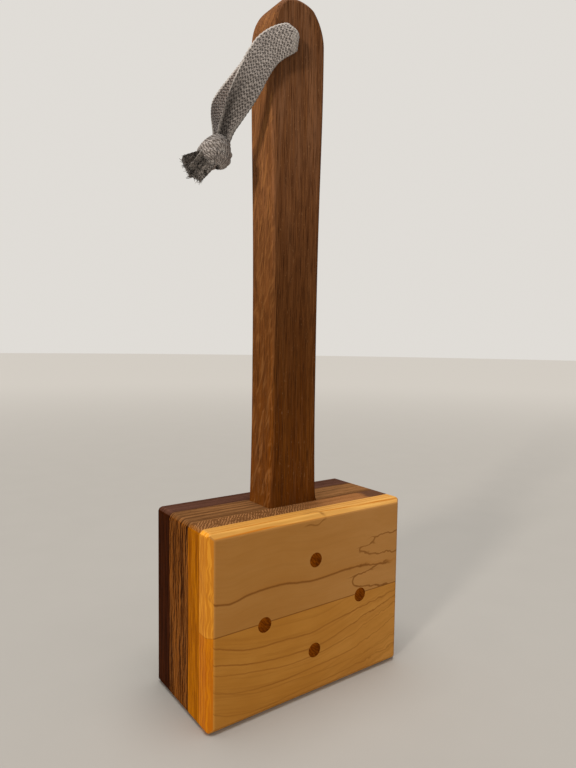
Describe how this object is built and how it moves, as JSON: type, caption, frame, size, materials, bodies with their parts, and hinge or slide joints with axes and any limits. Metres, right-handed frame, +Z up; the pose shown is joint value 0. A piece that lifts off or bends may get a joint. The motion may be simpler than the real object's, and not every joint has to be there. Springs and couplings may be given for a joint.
{
  "type": "wooden mallet",
  "caption": "Joiner's mallet with a laminated rectangular wooden head, a dowelled through handle with a rounded top, and a knotted tape lanyard through the handle.",
  "frame": {"origin": "middle of the head's underside, on the surface that the mallet stands on", "axes": "+Z up along the handle towards its grip end, +X along the head from the left striking face to the right one, -Y out of the maple cheek"},
  "size_m": [0.129, 0.062, 0.373],
  "materials": {
    "handle_oak": "oiled oak, straight coarse grain",
    "maple": "oiled maple, fine grain with dark growth lines",
    "ray_oak": "oiled oak with ray flecks",
    "brown_core": "oiled brown hardwood, coarse streaky grain",
    "dark_wood": "oiled dark hardwood, fine grain",
    "dowel_wood": "oiled hardwood end grain",
    "tape": "heather grey woven cotton tape"
  },
  "bodies": {
    "mallet": {"handle": "handle_oak", "maple_cheek_upper": "maple", "maple_cheek_lower": "maple", "oak_layer": "ray_oak", "core_block_left": "brown_core", "core_block_right": "brown_core", "dark_cheek": "dark_wood", "dowel_upper": "dowel_wood", "dowel_lower": "dowel_wood", "dowel_left": "dowel_wood", "dowel_right": "dowel_wood"},
    "lanyard": {"lanyard_front_strap": "tape", "lanyard_back_strap": "tape", "lanyard_knot": "tape", "lanyard_tail_long": "tape", "lanyard_tail_short": "tape"}
  },
  "joints": [
    {"name": "lanyard_swing", "type": "hinge", "parent": "mallet", "child": "lanyard", "pos_m": [-0.004, 0.002, 0.352], "axis": [0, 1, 0], "range_deg": [0, 270]}
  ]
}
